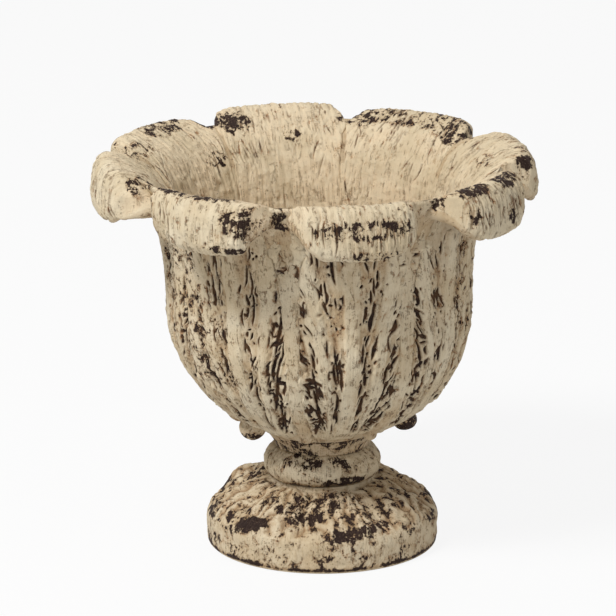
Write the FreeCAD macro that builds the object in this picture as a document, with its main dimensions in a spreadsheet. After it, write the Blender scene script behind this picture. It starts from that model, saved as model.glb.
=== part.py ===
import FreeCAD, Part
import Sketcher
import math
import operator
import os

from FreeCAD import Vector

# A footed leaf urn: a cast bowl dressed with curling acanthus leaves, a neck collar, a round knop and
# a spreading foot, drawn together by one rod through the middle. Millimetres, +Z up, origin at the middle
# of the foot's underside.

# Driving dimensions, one cell each
SIZES = [
    # The foot: a plain band below a slightly hollowed slope that rises to a narrow neck
    ("foot_radius", 80.5),
    ("foot_band_height", 25.0),
    ("foot_shoulder", 4.0),
    ("foot_bevel", 1.5),
    ("foot_height", 48.0),
    ("foot_neck_radius", 36.0),
    ("foot_neck_height", 4.0),
    ("foot_slope_hollow", 0.8),
    ("foot_wall", 8.0),
    ("foot_crown", 10.0),
    ("foot_crown_radius", 28.0),
    # Leaf tips cast on the foot's slope
    ("foot_leaf_half_width", 20.0),
    ("foot_leaf_relief", 6.5),
    # The knop between foot and collar
    ("knop_height", 22.0),
    ("knop_bulge", 8.5),
    ("knop_neck_radius", 33.0),
    # The collar that carries the bowl
    ("collar_height", 12.0),
    ("collar_hollow", 1.5),
    # Spigots, their sockets, and the core round the rod
    ("spigot_radius", 20.0),
    ("spigot_height", 4.0),
    ("spigot_clearance", 0.2),
    ("core_radius", 13.0),
    # The bowl: part of a ball below, a flare above, and a mouth that opens like a trumpet
    ("bowl_seat_radius", 40.0),
    ("bowl_radius", 100.0),
    ("bowl_flare_height", 96.0),
    ("bowl_flare", 16.0),
    ("bowl_wall", 7.0),
    ("bowl_floor", 8.0),
    ("mouth_depth", 23.6),
    ("mouth_radius", 128.0),
    ("mouth_rise", 3.6),
    ("mouth_edge", 2.6),
    ("mouth_hollow", 2.6),
    # The leaves: ribbed blades, with lips that go on from the mouth and curl down outside it
    ("leaf_relief", 5.5),
    ("leaf_rib", 1.4),
    ("leaf_gap", 1.4),
    ("lip_rise", 8.8),
    ("lip_crest_reach", 25.5),
    ("lip_roll_radius", 12.0),
    ("lip_thickness", 9.5),
    ("lip_half_width", 39.5),
    ("lip_side", 6.5),
    ("lip_side_drop", 16.0),
    ("lip_bow_radius", 95.0),
    ("lip_drop", 24.4),
    # The narrow spear leaves between them, each with a ball at its lower end
    ("spear_relief", 4.5),
    ("spear_half_width", 5.0),
    ("spear_tip_half_width", 9.0),
    ("spear_ball_radius", 8.0),
    ("spear_ball_stand", 3.7),
    # Countersunk screws through the bowl's wall into leaves and spears
    ("leaf_screw_drop", 14.0),
    ("spear_screw_drop", 20.0),
    ("screw_radius", 2.0),
    ("screw_head_radius", 4.0),
    ("screw_head_sink", 0.3),
    ("screw_cover", 1.5),
    ("screw_clearance", 0.2),
    # The rod, its nuts and washers, and the plate across the foot's crown
    ("rod_radius", 5.0),
    ("rod_clearance", 0.5),
    ("rod_end", 3.0),
    ("thread_clearance", 0.15),
    ("nut_flats", 17.0),
    ("nut_height", 8.0),
    ("washer_radius", 15.0),
    ("washer_thickness", 2.0),
    ("seal_radius", 17.0),
    ("seal_thickness", 2.5),
    ("plate_radius", 22.0),
    ("plate_thickness", 6.0),
]
LEAVES = 8
SECTOR_ANGLE = 360.0 / LEAVES
# A leaf's outline: how much of the room between two spears it fills, on the ball by the angle up from
# the bottom and on the flare by the share of its height
BALL_FILL = [(27.0, 0.48), (38.0, 0.78), (52.0, 0.95), (68.0, 0.98), (88.0, 0.98)]
FLARE_FILL = [(0.33, 0.95), (0.62, 0.9)]
# How strongly the ribs stand out on each of those sections, and where ribs and grooves lie from a leaf's
# middle to its edge, with their heights
BALL_RIBS = [0.0, 0.4, 0.9, 1.0, 1.0]
FLARE_RIBS = [0.8, 0.4]
ACROSS = [0.0, 1 / 6, 1 / 3, 1 / 2, 2 / 3, 5 / 6, 0.94, 1.0]
RIB_HEIGHTS = [1.0, -0.9, 0.8, -0.9, 0.8, -0.8, -0.4, -1.4]
# A lip's outline: shares of its width and of the drop of its sides, along the trumpet by the share of its
# run, round the roll by the angle (90 at the crest), and down the front by the share of its height
LIP_TRUMPET = [(0.0, 0.77, 0.0), (0.3, 0.86, 0.15), (0.6, 0.98, 0.4), (0.82, 1.0, 0.75), (1.0, 1.0, 1.0)]
LIP_ROLL = [(55.0, 0.97, 1.05), (12.0, 0.92, 0.85)]
LIP_FRONT = [(0.4, 0.82, 0.5, 1.0), (0.78, 0.64, 0.15, 0.8), (1.0, 0.46, 0.0, 0.25)]
LIP_SQUARENESS = 5.0
# A spear's outline: angles on the ball, shares of the flare's height and of the mouth's turn, each with the
# share of its widening, and under the mouth also the share of its relief
SPEAR_BALL_ANGLES = [31.0, 45.0, 60.0, 75.0, 90.0]
SPEAR_FLARE = [(0.3, 0.25), (0.6, 0.65)]
SPEAR_MOUTH = [(0.2, 0.95, 1.0), (0.55, 1.0, 0.9), (0.85, 0.6, 0.5)]
# A foot leaf: share of the slope's run, share of the width and share of the relief, and the share of the
# width that is left where its tip runs out over the band
FOOT_LEAF = [(0.95, 0.35, 0.3), (0.75, 0.75, 0.8), (0.5, 0.95, 1.0), (0.28, 1.0, 0.9), (0.1, 0.95, 0.6)]
FOOT_LEAF_TIP = 0.55

doc = FreeCAD.newDocument("leaf_urn")
sheet = doc.addObject("Spreadsheet::Sheet", "dims")
for row, (alias, value) in enumerate(SIZES, start=1):
    sheet.set(f"A{row}", alias)
    sheet.set(f"B{row}", str(value))
    sheet.setAlias(f"B{row}", alias)
doc.recompute()


class Size:
    """A length that is known both as an expression on the sheet's cells and as a number."""

    def __init__(self, text, value):
        self.text = text
        self.value = value

    def join(self, sign, other, work):
        """This length and another length or plain number, under one sign."""
        if not isinstance(other, Size):
            other = Size(str(other), float(other))
        return Size(f"({self.text} {sign} {other.text})", work(self.value, other.value))

    def __add__(self, other):
        return self.join("+", other, operator.add)

    def __sub__(self, other):
        return self.join("-", other, operator.sub)

    def __mul__(self, other):
        return self.join("*", other, operator.mul)

    def __truediv__(self, other):
        return self.join("/", other, operator.truediv)

    def root(self):
        return Size(f"sqrt({self.text})", math.sqrt(self.value))


class Cells:
    """The sheet's cells by alias, each as a Size."""

    def __getattr__(self, alias):
        return Size(f"dims.{alias}", float(sheet.get(alias)))


dims = Cells()
FLOOR = Size("0", 0.0)

# Heights that stack up from the floor
knop_base = dims.foot_height
collar_base = knop_base + dims.knop_height
bowl_seat = collar_base + dims.collar_height
equator = (
    bowl_seat
    + (dims.bowl_radius * dims.bowl_radius - dims.bowl_seat_radius * dims.bowl_seat_radius).root()
)
rim = equator + dims.bowl_flare_height
bowl_floor_top = bowl_seat + dims.bowl_floor
crown_under = dims.foot_height - dims.foot_crown
plate_under = crown_under - dims.plate_thickness
washer_base = bowl_floor_top + dims.seal_thickness
top_nut_base = washer_base + dims.washer_thickness
foot_nut_base = plate_under - dims.nut_height

# Radii that more than one piece shares
socket_radius = dims.spigot_radius + dims.spigot_clearance
socket_depth = dims.spigot_height + dims.spigot_clearance
rod_hole = dims.rod_radius + dims.rod_clearance
rim_radius = dims.bowl_radius + dims.bowl_flare
flare_radius = (dims.bowl_flare * dims.bowl_flare + dims.bowl_flare_height * dims.bowl_flare_height) / (
    dims.bowl_flare * 2
)
inner_radius = dims.bowl_radius - dims.bowl_wall
inner_flare_radius = flare_radius + dims.bowl_wall
floor_depth = equator - bowl_floor_top
bowl_floor_radius = (inner_radius * inner_radius - floor_depth * floor_depth).root()


def flare_foot(radius):
    """The point where the mouth leaves a flared wall of a radius."""
    up = dims.bowl_flare_height - dims.mouth_depth
    return dims.bowl_radius + flare_radius - (radius * radius - up * up).root(), equator + up


mouth_outer = flare_foot(flare_radius)
mouth_inner = flare_foot(inner_flare_radius)
mouth_top = (dims.mouth_radius, rim + dims.mouth_rise)
mouth_under = (dims.mouth_radius, rim + dims.mouth_rise - dims.mouth_edge)


def bulge_radius(start, end, bulge):
    """The radius of the arc between two corners that stands off its chord by a bulge."""
    across = end[0] - start[0]
    up = end[1] - start[1]
    return ((across * across + up * up) / 4 + bulge * bulge) / (bulge * 2)


def arc_centre(start, end, radius, turn):
    """The centre of the arc from start to end, left of the way if turn is 1 and right of it if it is -1."""
    chord = end - start
    reach = math.sqrt(max(radius**2 - (chord.Length / 2) ** 2, 0.0))
    left = Vector(-chord.y, chord.x, 0).normalize()
    return (start + end) * 0.5 + left * (reach * turn)


def outline(body, name, corners, arcs):
    """A closed sketch in the body's upright plane. Each corner is a radius and a height. arcs gives the
    radius and the turn of each round side, by the number of the corner that the side starts from."""
    sketch = body.newObject("Sketcher::SketchObject", name)
    plane = next(feature for feature in body.Origin.OriginFeatures if feature.Role == "XZ_Plane")
    sketch.AttachmentSupport = (plane, [""])
    sketch.MapMode = "FlatFace"
    points = [Vector(radius.value, height.value, 0) for radius, height in corners]
    sides = []
    for i, start in enumerate(points):
        end = points[(i + 1) % len(points)]
        if i not in arcs:
            sides.append((sketch.addGeometry(Part.LineSegment(start, end)), 1, 2))
            continue
        radius, turn = arcs[i]
        centre = arc_centre(start, end, radius.value, turn)
        first, last = (start, end) if turn > 0 else (end, start)
        angles = [math.atan2(point.y - centre.y, point.x - centre.x) for point in (first, last)]
        circle = Part.Circle(centre, Vector(0, 0, 1), radius.value)
        side = sketch.addGeometry(Part.ArcOfCircle(circle, *angles))
        sides.append((side, 1, 2) if turn > 0 else (side, 2, 1))
    for i, (side, first, last) in enumerate(sides):
        follower, follower_first, _ = sides[(i + 1) % len(sides)]
        sketch.addConstraint(Sketcher.Constraint("Coincident", side, last, follower, follower_first))
        for kind, length in zip(("DistanceX", "DistanceY"), corners[i]):
            number = sketch.addConstraint(Sketcher.Constraint(kind, -1, 1, side, first, length.value))
            sketch.setExpression(f"Constraints[{number}]", length.text)
        if i in arcs:
            number = sketch.addConstraint(Sketcher.Constraint("Radius", side, arcs[i][0].value))
            sketch.setExpression(f"Constraints[{number}]", arcs[i][0].text)
    return sketch


def turned(label, corners, arcs):
    """A body turned about the upright axis from one outline."""
    body = doc.addObject("PartDesign::Body", label)
    sketch = outline(body, f"{label}_outline", corners, arcs)
    turn = body.newObject("PartDesign::Revolution", f"{label}_turn")
    turn.Profile = sketch
    turn.ReferenceAxis = (sketch, ["V_Axis"])
    turn.Angle = 360.0
    doc.recompute()
    return body


def primitive(kind, label, height, **lengths):
    """A simple solid on the upright axis, standing at a height."""
    solid = doc.addObject(kind, label)
    for name, length in lengths.items():
        solid.setExpression(name, length.text)
    solid.setExpression("Placement.Base.z", height.text)
    return solid


def bored(label, blank, bore_radius, height, depth):
    """A blank with a round hole down the upright axis."""
    bore = primitive("Part::Cylinder", f"{label}_bore", height, Radius=bore_radius, Height=depth)
    piece = doc.addObject("Part::Cut", label)
    piece.Base = blank
    piece.Tool = bore
    return piece


def disc(label, height, radius, thickness, bore_radius):
    blank = primitive("Part::Cylinder", f"{label}_blank", height, Radius=radius, Height=thickness)
    return bored(label, blank, bore_radius, height, thickness)


def nut(label, height):
    corners = dims.nut_flats / math.sqrt(3)
    blank = primitive("Part::Prism", f"{label}_blank", height, Circumradius=corners, Height=dims.nut_height)
    blank.Polygon = 6
    return bored(label, blank, dims.rod_radius + dims.thread_clearance, height, dims.nut_height)


def shaped(label, shape, angle=0.0):
    """A sub-part whose form no primitive or body gives, turned to its place round the upright axis."""
    piece = doc.addObject("Part::Feature", label)
    piece.Shape = shape
    piece.Placement = FreeCAD.Placement(Vector(0, 0, 0), FreeCAD.Rotation(Vector(0, 0, 1), angle))
    return piece


# The foot
slope_foot = (dims.foot_radius - dims.foot_shoulder, dims.foot_band_height)
slope_head = (dims.foot_neck_radius, dims.foot_height - dims.foot_neck_height)
hollow_head = (dims.foot_crown_radius, crown_under)
hollow_foot = (dims.foot_radius - dims.foot_wall, dims.foot_band_height - dims.foot_wall)
slope_radius = bulge_radius(slope_foot, slope_head, dims.foot_slope_hollow)
foot_casting = turned(
    "foot_casting",
    [
        (dims.foot_radius - dims.foot_bevel, FLOOR),
        (dims.foot_radius, dims.foot_bevel),
        (dims.foot_radius, dims.foot_band_height - dims.foot_shoulder),
        slope_foot,
        slope_head,
        (dims.foot_neck_radius, dims.foot_height),
        (socket_radius, dims.foot_height),
        (socket_radius, dims.foot_height - socket_depth),
        (dims.core_radius, dims.foot_height - socket_depth),
        (dims.core_radius, crown_under),
        hollow_head,
        hollow_foot,
        (dims.foot_radius - dims.foot_wall, FLOOR),
    ],
    {
        2: (dims.foot_shoulder, 1),
        3: (slope_radius, -1),
        10: (bulge_radius(hollow_head, hollow_foot, dims.foot_slope_hollow), 1),
    },
)

# The knop, with a spigot in the foot and a socket for the collar
knop_foot = (dims.foot_neck_radius, knop_base)
knop_head = (dims.knop_neck_radius, collar_base)
knop = turned(
    "knop",
    [
        (dims.core_radius, knop_base - dims.spigot_height),
        (dims.spigot_radius, knop_base - dims.spigot_height),
        (dims.spigot_radius, knop_base),
        knop_foot,
        knop_head,
        (socket_radius, collar_base),
        (socket_radius, collar_base - socket_depth),
        (dims.core_radius, collar_base - socket_depth),
    ],
    {3: (bulge_radius(knop_foot, knop_head, dims.knop_bulge), 1)},
)

# The collar, with a spigot in the knop and a socket for the bowl
collar_head = (dims.bowl_seat_radius, bowl_seat)
collar = turned(
    "collar",
    [
        (dims.core_radius, collar_base - dims.spigot_height),
        (dims.spigot_radius, collar_base - dims.spigot_height),
        (dims.spigot_radius, collar_base),
        knop_head,
        collar_head,
        (socket_radius, bowl_seat),
        (socket_radius, bowl_seat - socket_depth),
        (dims.core_radius, bowl_seat - socket_depth),
    ],
    {3: (bulge_radius(knop_head, collar_head, dims.collar_hollow), -1)},
)

# The bowl, with a spigot in the collar and a hole for the rod
bowl_casting = turned(
    "bowl_casting",
    [
        (rod_hole, bowl_seat - dims.spigot_height),
        (dims.spigot_radius, bowl_seat - dims.spigot_height),
        (dims.spigot_radius, bowl_seat),
        (dims.bowl_seat_radius, bowl_seat),
        (dims.bowl_radius, equator),
        mouth_outer,
        mouth_under,
        mouth_top,
        mouth_inner,
        (inner_radius, equator),
        (bowl_floor_radius, bowl_floor_top),
        (rod_hole, bowl_floor_top),
    ],
    {
        3: (dims.bowl_radius, 1),
        4: (flare_radius, -1),
        5: (bulge_radius(mouth_outer, mouth_under, dims.mouth_hollow), -1),
        7: (bulge_radius(mouth_top, mouth_inner, dims.mouth_hollow), 1),
        8: (inner_flare_radius, 1),
        9: (inner_radius, -1),
    },
)

# The rod and what holds it at its two ends
rod_foot = foot_nut_base - dims.rod_end
rod_length = top_nut_base + dims.nut_height + dims.rod_end - rod_foot
tie_rod = primitive("Part::Cylinder", "tie_rod", rod_foot, Radius=dims.rod_radius, Height=rod_length)
seal_washer = disc("seal_washer", bowl_floor_top, dims.seal_radius, dims.seal_thickness, rod_hole)
top_washer = disc("top_washer", washer_base, dims.washer_radius, dims.washer_thickness, rod_hole)
top_nut = nut("top_nut", top_nut_base)
clamp_plate = disc("clamp_plate", plate_under, dims.plate_radius, dims.plate_thickness, rod_hole)
foot_nut = nut("foot_nut", foot_nut_base)


def on_ball(angle, lift):
    """A point off the bowl's lower wall, at an angle up from its bottom, as radius and height."""
    reach = dims.bowl_radius.value + lift
    turn = math.radians(angle)
    return reach * math.sin(turn), equator.value - reach * math.cos(turn)


def on_flare(share, lift):
    """A point off the bowl's flared wall, at a share of the flare's height."""
    turn = math.asin(share * dims.bowl_flare_height.value / flare_radius.value)
    reach = flare_radius.value - lift
    radius = dims.bowl_radius.value + flare_radius.value - reach * math.cos(turn)
    return radius, equator.value + reach * math.sin(turn)


def plan(point):
    """A radius and a height as a point of the upright plane, for arc_centre."""
    return Vector(point[0].value, point[1].value, 0)


def on_mouth(share, lift):
    """A point off the mouth's underside, at a share of its turn from the flare to its edge."""
    radius = bulge_radius(mouth_outer, mouth_under, dims.mouth_hollow).value
    centre = arc_centre(plan(mouth_outer), plan(mouth_under), radius, -1)
    first, last = [math.atan2(p.y - centre.y, p.x - centre.x) for p in (plan(mouth_outer), plan(mouth_under))]
    turn = first + (last - first) * share
    return centre.x + (radius - lift) * math.cos(turn), centre.y + (radius - lift) * math.sin(turn)


def face(point_at, half_width, bow=None, flat=False):
    """One edge across a leaf, from left to right, with its two ends. point_at gives the radius and the height
    at a share of the half width. In plan the edge has the radius bow, or is straight if it is flat."""
    points = []
    for share in [-share for share in reversed(ACROSS[1:])] + ACROSS:
        radius, height = point_at(0.0 if flat else abs(share))
        aside = half_width * share
        bend = bow or radius
        back = bend - math.sqrt(bend**2 - (half_width if flat else aside) ** 2)
        points.append(Vector(radius - back, -aside, height))
    curve = Part.BSplineCurve()
    curve.interpolate(Points=points, Parameters=[float(i) for i in range(len(points))])
    return curve.toShape(), points[0], points[-1]


def leaf_section(inner_face, outer_face):
    """One section across a leaf: its inner edge, its outer edge and the two sides between."""
    inner, inner_left, inner_right = inner_face
    outer, outer_left, outer_right = outer_face
    right = Part.LineSegment(inner_right, outer_right).toShape()
    left = Part.LineSegment(outer_left, inner_left).toShape()
    return Part.Wire([inner, right, outer.reversed(), left])


def plain_section(inside, outside, half_width, flat=False):
    """A section without ribs between two points over the leaf's middle."""
    return leaf_section(
        face(lambda share: inside, half_width, flat=flat), face(lambda share: outside, half_width, flat=flat)
    )


def room(radius):
    """Half the width between the middles of two neighbouring spears."""
    return radius * math.sin(math.radians(SECTOR_ANGLE / 2))


# How deep a leaf's blank runs into the wall behind it, before it is cut back to the wall
bite = dims.bowl_wall.value / 2
relief = dims.leaf_relief.value


def blade_section(place, where, fill, ribs, flat):
    """A section on the bowl's wall. The outer edge has a midrib and ribs that fan out from the stem."""
    half_width = fill * (room(place(where, 0.0)[0]) - dims.spear_half_width.value - dims.leaf_gap.value)
    heights = dict(zip(ACROSS, RIB_HEIGHTS))
    rise = dims.leaf_rib.value * ribs
    inner = face(lambda share: place(where, -bite), half_width, flat=flat)
    outer = face(lambda share: place(where, relief + rise * heights[share]), half_width, flat=flat)
    return leaf_section(inner, outer)


def lip_section(inside, outside, fill, side_drop, flat=False):
    """A section of the lip, with sides that hang below its middle."""
    def hanging(point, drop):
        over = [(1 - share**LIP_SQUARENESS) ** (1 / LIP_SQUARENESS) for share in ACROSS]
        falls = {share: drop * (1 - part) for share, part in zip(ACROSS, over)}
        return lambda share: (point[0], point[1] - falls[share])

    half_width = dims.lip_half_width.value * fill
    narrow = half_width - dims.lip_side.value * fill
    drop = dims.lip_side_drop.value * side_drop
    bow = dims.lip_bow_radius.value
    under_drop = drop - dims.lip_thickness.value * side_drop / 2
    upper = face(hanging(inside, drop), half_width, bow, flat)
    return leaf_section(upper, face(hanging(outside, under_drop), narrow, bow, flat))


def leaf_blank():
    """A leaf from its stem under the bowl to the tip of its lip, before it is cut to the bowl."""
    sections = []
    for (angle, fill), ribs in zip(BALL_FILL, BALL_RIBS):
        sections.append(blade_section(on_ball, angle, fill, ribs, flat=not sections))
    for (share, fill), ribs in zip(FLARE_FILL, FLARE_RIBS):
        sections.append(blade_section(on_flare, share, fill, ribs, flat=False))
    thick = dims.lip_thickness.value
    roll = dims.lip_roll_radius.value
    start = Vector(mouth_inner[0].value, 0, mouth_inner[1].value)
    crest = Vector(rim_radius.value + dims.lip_crest_reach.value, 0, rim.value + dims.lip_rise.value)
    run = crest - start
    for share, fill, side in LIP_TRUMPET:
        inside = start + Vector(run.x * share, 0, run.z * (1 - (1 - share) ** 2))
        away = Vector(2 * run.z * (1 - share), 0, -run.x).normalize() * thick
        outside = inside + away
        sections.append(lip_section((inside.x, inside.z), (outside.x, outside.z), fill, side))
    centre = crest - Vector(0, 0, roll)
    for angle, fill, side in LIP_ROLL:
        out = Vector(math.cos(math.radians(angle)), 0, math.sin(math.radians(angle)))
        inside = centre + out * roll
        outside = centre + out * (roll - thick)
        sections.append(lip_section((inside.x, inside.z), (outside.x, outside.z), fill, side))
    middle = centre.x + roll - thick / 2
    for share, fill, side, thinning in LIP_FRONT:
        height = centre.z - dims.lip_drop.value * share
        half = thick / 2 * thinning
        front, behind = (middle + half, height), (middle - half, height)
        sections.append(lip_section(front, behind, fill, side, flat=share == 1.0))
    return Part.makeLoft(sections, True, False)


def spear_blank():
    """A spear from its ball under the bowl to its tip under the mouth, before it is cut to the bowl."""
    lift = dims.spear_relief.value
    narrow = dims.spear_half_width.value
    widening = dims.spear_tip_half_width.value - narrow
    sections = []
    for angle in SPEAR_BALL_ANGLES:
        sections.append(plain_section(on_ball(angle, -bite), on_ball(angle, lift), narrow, not sections))
    for share, fill in SPEAR_FLARE:
        inside, outside = on_flare(share, -bite), on_flare(share, lift)
        sections.append(plain_section(inside, outside, narrow + widening * fill))
    for share, fill, rise in SPEAR_MOUTH:
        inside, outside = on_mouth(share, -dims.mouth_edge.value / 2), on_mouth(share, lift * rise)
        sections.append(plain_section(inside, outside, narrow + widening * fill, share == SPEAR_MOUTH[-1][0]))
    radius, height = on_ball(SPEAR_BALL_ANGLES[0], dims.spear_ball_stand.value)
    ball = Part.makeSphere(dims.spear_ball_radius.value, Vector(radius, 0, height))
    return Part.makeLoft(sections, True, False).fuse(ball)


def foot_leaf_tip():
    """One leaf tip lying on the foot's slope, sunk far enough into it to be one casting."""
    start, end = plan(slope_foot), plan(slope_head)
    centre = arc_centre(start, end, slope_radius.value, -1)
    sink = dims.foot_wall.value / 2
    sections = []
    for run, fill, rise in FOOT_LEAF:
        radius = start.x + (end.x - start.x) * run
        height = centre.y - math.sqrt(slope_radius.value**2 - (radius - centre.x) ** 2)
        top = (radius, height + dims.foot_leaf_relief.value * rise)
        width = dims.foot_leaf_half_width.value * fill
        sections.append(plain_section((radius, height - sink), top, width, not sections))
    edge = dims.foot_radius.value - dims.foot_bevel.value / 2
    width = dims.foot_leaf_half_width.value * FOOT_LEAF_TIP
    low = (edge - sink, start.y - sink)
    sections.append(plain_section(low, (edge, start.y), width, flat=True))
    return Part.makeLoft(sections, True, False)


def bowl_block():
    """The space within the bowl's outside and over its mouth, which the leaves stay out of."""
    seat = Vector(dims.bowl_seat_radius.value, 0, bowl_seat.value)
    waist = Vector(dims.bowl_radius.value, 0, equator.value)
    flare_end = Vector(mouth_outer[0].value, 0, mouth_outer[1].value)
    edge = Vector(mouth_under[0].value, 0, mouth_under[1].value)
    over_lips = Vector(edge.x, 0, rim.value + 2 * dims.lip_rise.value)
    between = [on_ball(60.0, 0.0), on_flare(0.4, 0.0), on_mouth(0.5, 0.0)]
    on_wall = [Vector(radius, 0, height) for radius, height in between]
    base = Vector(0, 0, seat.z)
    top = Vector(0, 0, over_lips.z)
    sides = [
        Part.LineSegment(base, seat),
        Part.Arc(seat, on_wall[0], waist),
        Part.Arc(waist, on_wall[1], flare_end),
        Part.Arc(flare_end, on_wall[2], edge),
        Part.LineSegment(edge, over_lips),
        Part.LineSegment(over_lips, top),
        Part.LineSegment(top, base),
    ]
    half = Part.Face(Part.Wire([side.toShape() for side in sides]))
    return half.revolve(Vector(0, 0, 0), Vector(0, 0, 1), 360)


def screw(drop, lift, clearance):
    """A countersunk screw from inside the bowl, or with a clearance the hole that it goes in. drop is how
    far below the ball's middle it sits, and lift is the relief of the leaf that it holds."""
    height = equator.value - drop
    inner = math.sqrt(inner_radius.value**2 - drop**2)
    outer = math.sqrt(dims.bowl_radius.value**2 - drop**2)
    head = dims.screw_head_radius.value + clearance
    shank = dims.screw_radius.value + clearance
    top = inner + dims.screw_head_sink.value
    end = outer + lift - dims.screw_cover.value + clearance
    start = Vector(top, 0, height)
    way = Vector(1, 0, 0)
    cone = Part.makeCone(head, shank, head - shank, start, way)
    body = Part.makeCylinder(shank, end - top, start, way).fuse(cone)
    if clearance:
        mouth = Part.makeCylinder(head, dims.bowl_wall.value, start - way * dims.bowl_wall.value, way)
        body = body.fuse(mouth)
    return body


# Leaf 1 points to the front, and the spears stand half a sector further round
LEAF_TURN = -90.0
SPEAR_TURN = LEAF_TURN + SECTOR_ANGLE / 2


def turns(first):
    """The angles of one piece in each sector, from the first."""
    return [first + SECTOR_ANGLE * number for number in range(LEAVES)]


def spun(shape, first):
    """Copies of a shape, one in each sector."""
    return [shape.rotated(Vector(0, 0, 0), Vector(0, 0, 1), angle) for angle in turns(first)]


def ring(name, shape, first):
    """One sub-part in each sector, all of the same shape and numbered from 1."""
    return [shaped(f"{name}_{number}", shape, angle) for number, angle in enumerate(turns(first), start=1)]


leaf_drop = dims.leaf_screw_drop.value
spear_drop = dims.spear_screw_drop.value
spear_lift = dims.spear_relief.value
clearance = dims.screw_clearance.value
leaf_hole = screw(leaf_drop, relief, clearance)
spear_hole = screw(spear_drop, spear_lift, clearance)

block = bowl_block()
leaf_shape = leaf_blank().cut(block).cut(leaf_hole).removeSplitter()
spear_shape = spear_blank().cut(block).cut(spear_hole).removeSplitter()
leaves = ring("leaf", leaf_shape, LEAF_TURN)
spears = ring("spear", spear_shape, SPEAR_TURN)
leaf_screw = screw(leaf_drop, relief, 0.0)
spear_screw = screw(spear_drop, spear_lift, 0.0)
leaf_screws = shaped("leaf_screws", Part.makeCompound(spun(leaf_screw, LEAF_TURN)))
spear_screws = shaped("spear_screws", Part.makeCompound(spun(spear_screw, SPEAR_TURN)))

# The bowl's screw holes, and the leaf tips cast on the foot
holes = spun(leaf_hole, LEAF_TURN) + spun(spear_hole, SPEAR_TURN)
screw_holes = shaped("screw_holes", Part.makeCompound(holes))
bowl = doc.addObject("Part::Cut", "bowl")
bowl.Base = bowl_casting
bowl.Tool = screw_holes
foot_leaf_tips = shaped("foot_leaf_tips", Part.makeCompound(spun(foot_leaf_tip(), LEAF_TURN)))
foot = doc.addObject("Part::Fuse", "foot")
foot.Base = foot_casting
foot.Tool = foot_leaf_tips
doc.recompute()

pieces = [bowl, *leaves, *spears, leaf_screws, spear_screws, collar, knop, foot]
pieces += [tie_rod, seal_washer, top_washer, top_nut, clamp_plate, foot_nut]
for thing in doc.Objects:
    if "Invalid" in thing.State or "Error" in thing.State:
        raise RuntimeError(f"{thing.Label} did not build: {thing.State}")
for piece in pieces:
    if piece.Shape.isNull() or not piece.Shape.isValid():
        raise RuntimeError(f"{piece.Label} has no sound shape")

os.makedirs("parts", exist_ok=True)
for piece in pieces:
    piece.Shape.exportStep(f"parts/{piece.Label}.step")
    box = piece.Shape.BoundBox
    print(
        f"{piece.Label}: {len(piece.Shape.Solids)} solid(s), {piece.Shape.Volume / 1000:.1f} cm3,"
        f" z {box.ZMin:.2f} to {box.ZMax:.2f}, reach {box.XMax:.2f}"
    )
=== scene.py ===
import math

import bpy
import numpy as np
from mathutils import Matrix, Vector


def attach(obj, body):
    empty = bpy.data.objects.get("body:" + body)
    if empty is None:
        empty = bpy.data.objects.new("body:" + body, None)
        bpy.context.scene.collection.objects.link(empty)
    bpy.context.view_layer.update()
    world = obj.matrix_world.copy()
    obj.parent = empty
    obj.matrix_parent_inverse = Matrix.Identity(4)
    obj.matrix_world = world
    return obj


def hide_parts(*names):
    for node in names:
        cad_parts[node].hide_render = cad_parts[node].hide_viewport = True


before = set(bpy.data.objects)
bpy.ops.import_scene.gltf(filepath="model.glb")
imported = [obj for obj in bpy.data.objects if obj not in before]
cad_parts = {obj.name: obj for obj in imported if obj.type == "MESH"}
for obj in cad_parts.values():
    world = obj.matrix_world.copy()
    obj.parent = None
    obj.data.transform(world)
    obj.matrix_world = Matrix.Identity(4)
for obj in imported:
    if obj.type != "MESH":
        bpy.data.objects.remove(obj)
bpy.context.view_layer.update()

# A leaf urn in chipped cream paint. Lengths here are millimetres, and MM turns them into metres.
MM = 0.001
LEAVES = 8
SECTOR = 2 * math.pi / LEAVES
FRONT = -math.pi / 2

# The bowl's wall, as the solids have it: part of a ball below and a flare above
BALL_RADIUS = 100.0
BALL_MIDDLE = 173.65
FLARE_RADIUS = 296.0
WALL = 7.0
RIM = 269.65
SEAT = 82.0
BOWL_FLOOR = 90.0

# Where the viewer stands, and how far the rim has settled to the viewer's left of the foot
VIEW_ANGLE = math.radians(-12.0)
VIEWER_RIGHT = np.array([math.cos(VIEW_ANGLE), math.sin(VIEW_ANGLE), 0.0])
RIM_LEAN = 5.4
LEAN_FROM = 60
LEAN_RISE = 215


def lattice(cells, seed):
    """A fixed random number from -1 to 1 for each whole cell."""
    mixed = cells[..., 0] * 73856093 ^ cells[..., 1] * 19349663 ^ cells[..., 2] * 83492791 ^ seed * 39916801
    mixed = (mixed ^ mixed >> 13) * 1274126177 & 0x7FFFFFFF
    return (mixed >> 7 & 0xFFFF) / 32767.5 - 1.0


def noise(points, cell, seed=0):
    """A smooth random field from -1 to 1, with lumps about one cell across."""
    places = points / np.asarray(cell, float)
    whole = np.floor(places).astype(np.int64)
    part = places - whole
    part = part * part * (3 - 2 * part)
    total = 0.0
    for corner in np.ndindex(2, 2, 2):
        weight = np.prod(np.where(corner, part, 1 - part), axis=-1)
        total = total + weight * lattice(whole + np.array(corner), seed)
    return total


def rough(points, cell, seed=0, layers=3):
    """Noise with finer and weaker layers on top."""
    cell = np.asarray(cell, float)
    total = sum(noise(points, cell / 2**i, seed + 17 * i) / 2**i for i in range(layers))
    return total / (2 - 0.5 ** (layers - 1))


def step(low, high, value):
    """A soft step from 0 at low to 1 at high."""
    share = np.clip((value - low) / (high - low), 0, 1)
    return share * share * (3 - 2 * share)


def ridge(phase, sharp=0.6):
    """Round ridges at whole numbers of the phase, with sharp grooves half way between, from 0 to 1."""
    return np.abs(np.cos(np.pi * phase)) ** sharp


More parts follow.
